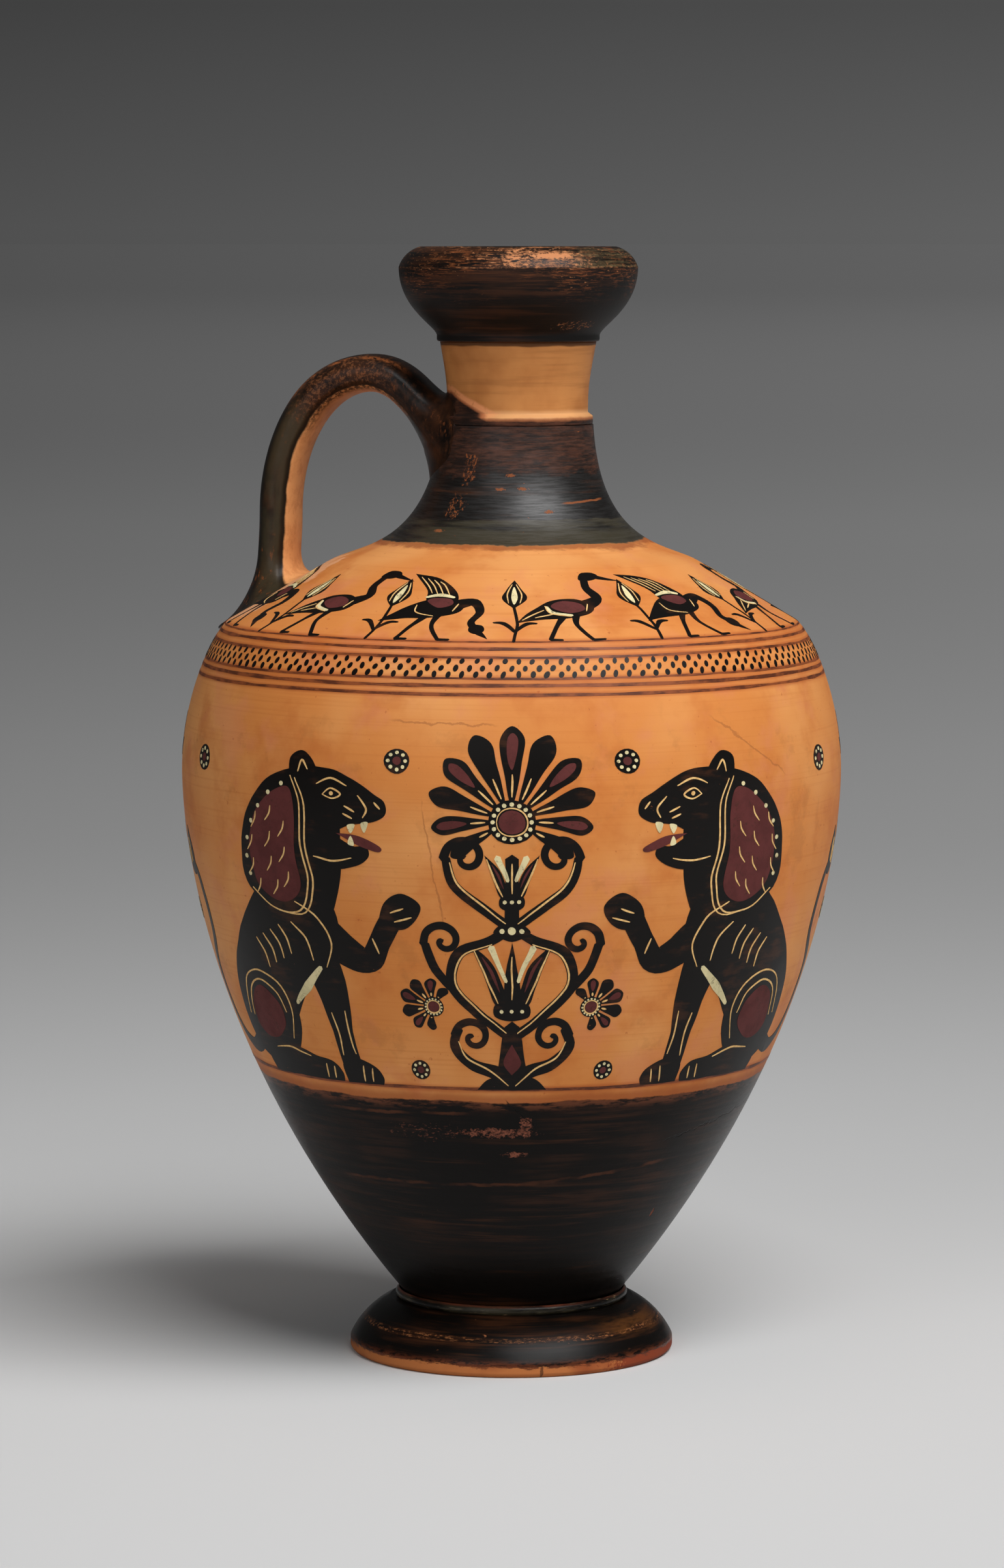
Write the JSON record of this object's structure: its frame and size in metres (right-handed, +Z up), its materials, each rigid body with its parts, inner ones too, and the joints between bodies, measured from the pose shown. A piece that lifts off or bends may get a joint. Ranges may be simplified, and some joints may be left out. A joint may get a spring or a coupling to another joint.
{
  "type": "oil flask",
  "caption": "Slender-necked ceramic oil flask with a cup-shaped mouth, sloping shoulder, tapering body, disc foot and a strap handle from neck to shoulder.",
  "frame": {"origin": "centre of the resting face under the foot, on the wheel's axis", "axes": "+Z up along the wheel's axis, out of the mouth; the handle is on the -X side, in the XZ plane"},
  "size_m": [0.1042, 0.1042, 0.1751],
  "materials": {
    "clay": "fired orange clay, burnished, with painted figures and bands",
    "gloss": "fired black gloss slip, worn to brown at the edges",
    "slip": "fired luting slip, matt"
  },
  "bodies": {
    "root": {"foot": "gloss", "foot_bead": "gloss", "slip_foot_to_body": "slip", "body": "clay", "slip_body_to_neck": "slip", "neck": "clay", "slip_neck_to_mouth": "slip", "mouth": "gloss", "handle": "gloss", "slip_handle_to_neck": "slip", "slip_handle_to_shoulder": "slip"}
  },
  "joints": []
}
